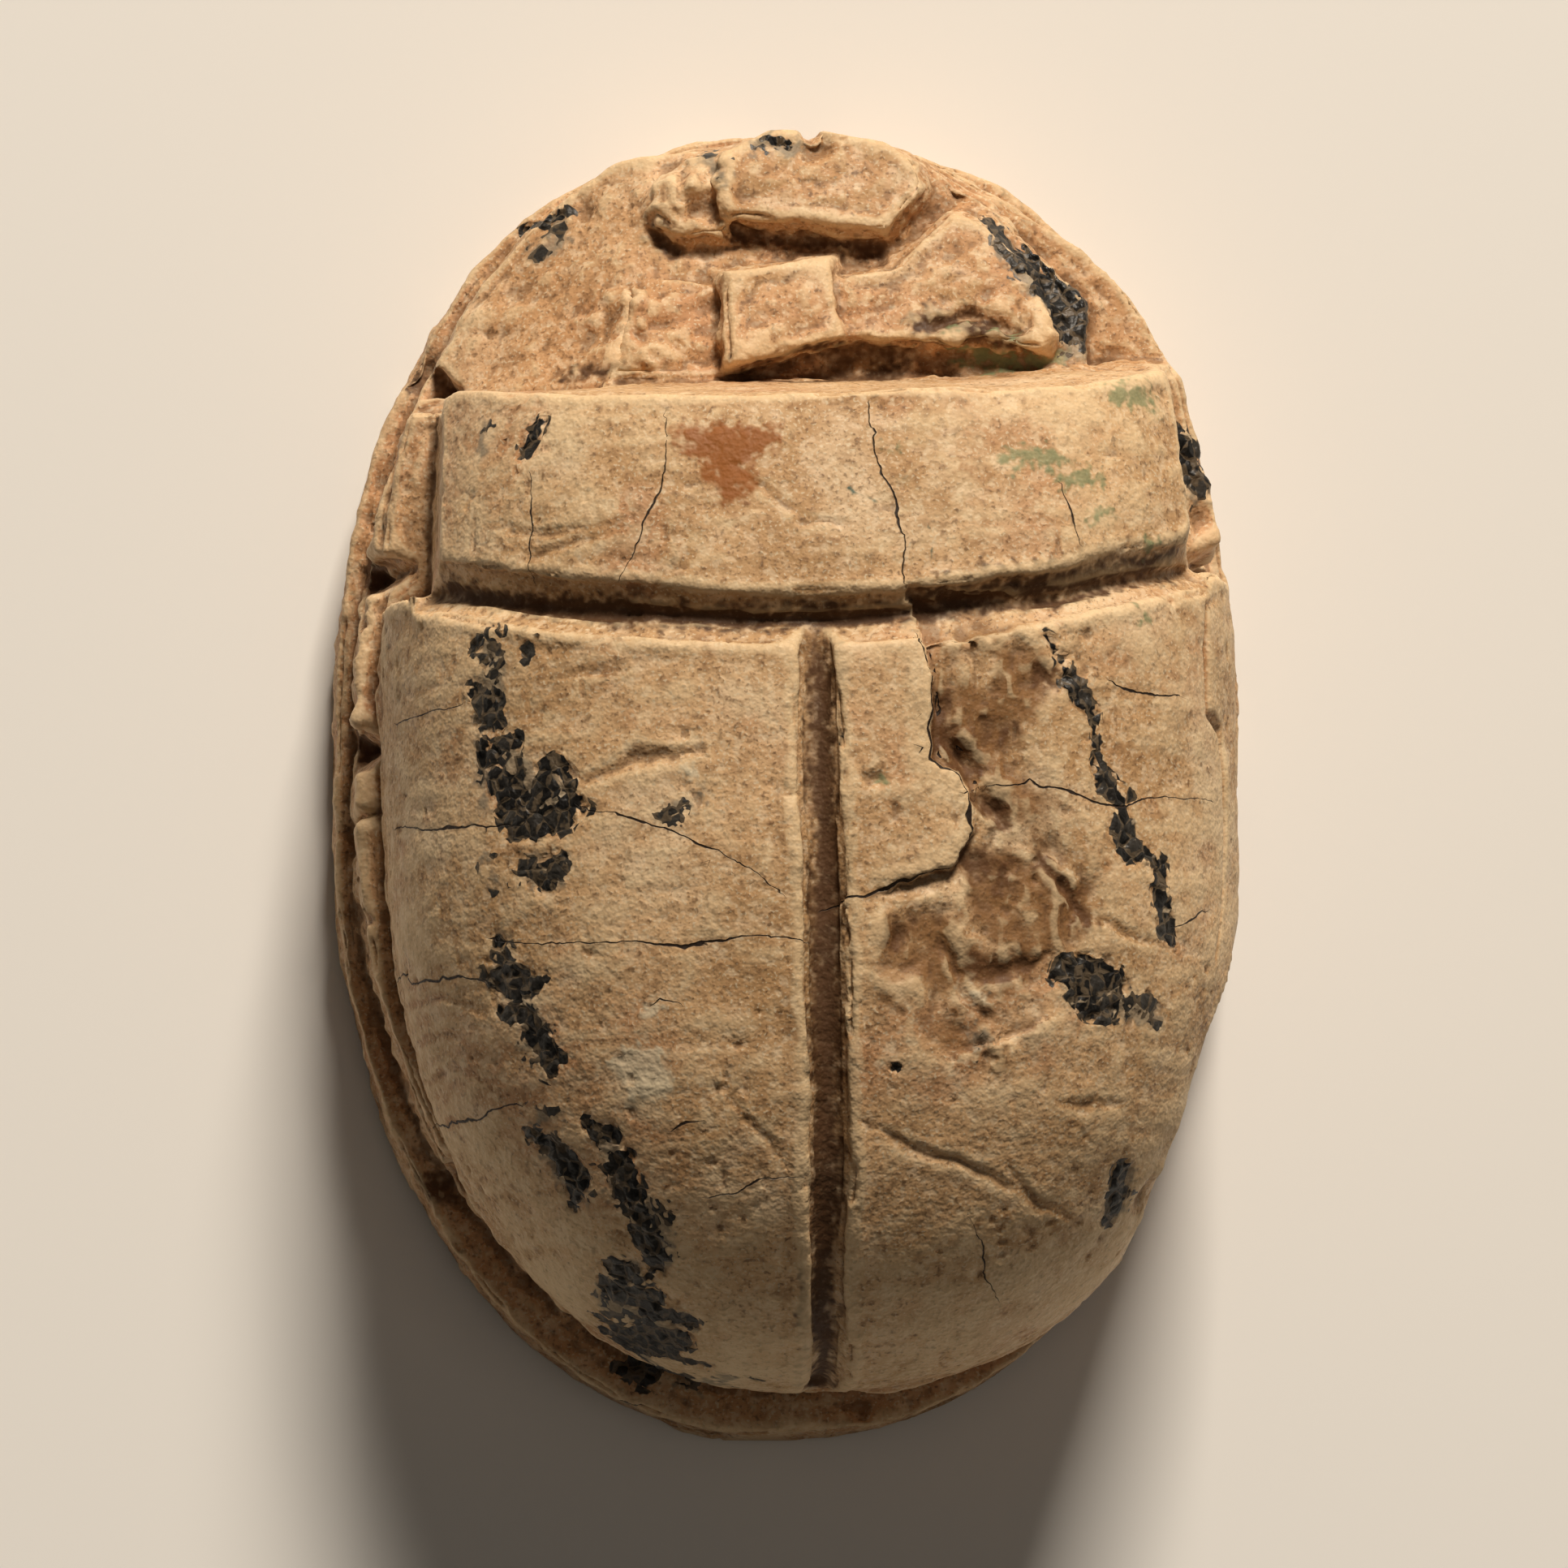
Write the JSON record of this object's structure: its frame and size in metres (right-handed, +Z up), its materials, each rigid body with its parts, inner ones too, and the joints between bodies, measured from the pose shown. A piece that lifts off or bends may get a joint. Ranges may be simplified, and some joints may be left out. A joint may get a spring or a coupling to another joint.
{
  "type": "scarab amulet",
  "caption": "Carved stone beetle amulet on a flat oval plinth, pierced lengthwise for a thread, with a chipped head and a worn, dark-veined back.",
  "frame": {"origin": "middle of the plinth's flat underside, on the surface that the amulet lies on", "axes": "+Z up through the beetle's back, +Y towards the beetle's head, +X towards the beetle's right when it is seen from above with the head up"},
  "size_m": [0.0126, 0.018, 0.008],
  "materials": {
    "pale_steatite": "fired pale tan steatite, worn smooth and slightly waxy, with brown dirt in its lines"
  },
  "bodies": {
    "root": {"scarab": "pale_steatite"}
  },
  "joints": []
}
